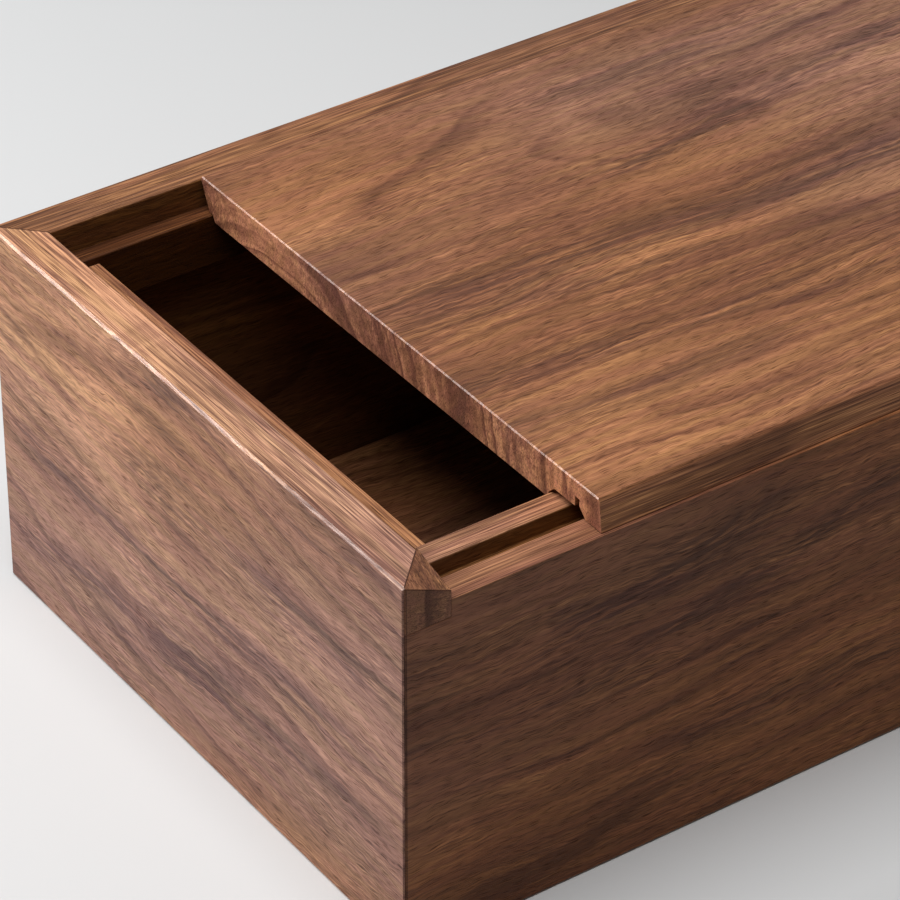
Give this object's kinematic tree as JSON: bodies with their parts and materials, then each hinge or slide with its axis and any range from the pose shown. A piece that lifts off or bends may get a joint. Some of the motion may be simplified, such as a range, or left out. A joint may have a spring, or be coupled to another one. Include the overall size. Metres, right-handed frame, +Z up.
{
  "type": "sliding lid wooden box",
  "caption": "Mitred walnut box for papers and keepsakes, with a board lid that slides to the back on ledges and in a side channel.",
  "frame": {"origin": "middle of the underside of the case, without the lid's overhang at the back", "axes": "+X to the right as seen from the front, +Y to the back, the way the lid opens, +Z up"},
  "size_m": [0.2, 0.3459, 0.119],
  "materials": {
    "case_walnut": "oiled, satin",
    "lid_walnut": "oiled, satin",
    "strip_walnut": "oiled, satin",
    "bottom_walnut": "oiled, matt",
    "spline_wood": "unfinished"
  },
  "bodies": {
    "case": {"front_panel": "case_walnut", "back_panel": "case_walnut", "left_side": "case_walnut", "right_side": "case_walnut", "bottom_panel": "bottom_walnut", "left_runner": "strip_walnut", "front_ledge": "strip_walnut", "right_runner": "strip_walnut", "corner_block": "case_walnut", "spline_front_left": "spline_wood", "spline_front_right": "spline_wood", "spline_back_left": "spline_wood", "spline_back_right": "spline_wood"},
    "lid": {"lid_panel": "lid_walnut", "lid_guide": "strip_walnut"}
  },
  "joints": [
    {"name": "lid_slide", "type": "slide", "parent": "case", "child": "lid", "axis": [0, 1, 0], "range_m": [-0.0459, 0.22]}
  ]
}
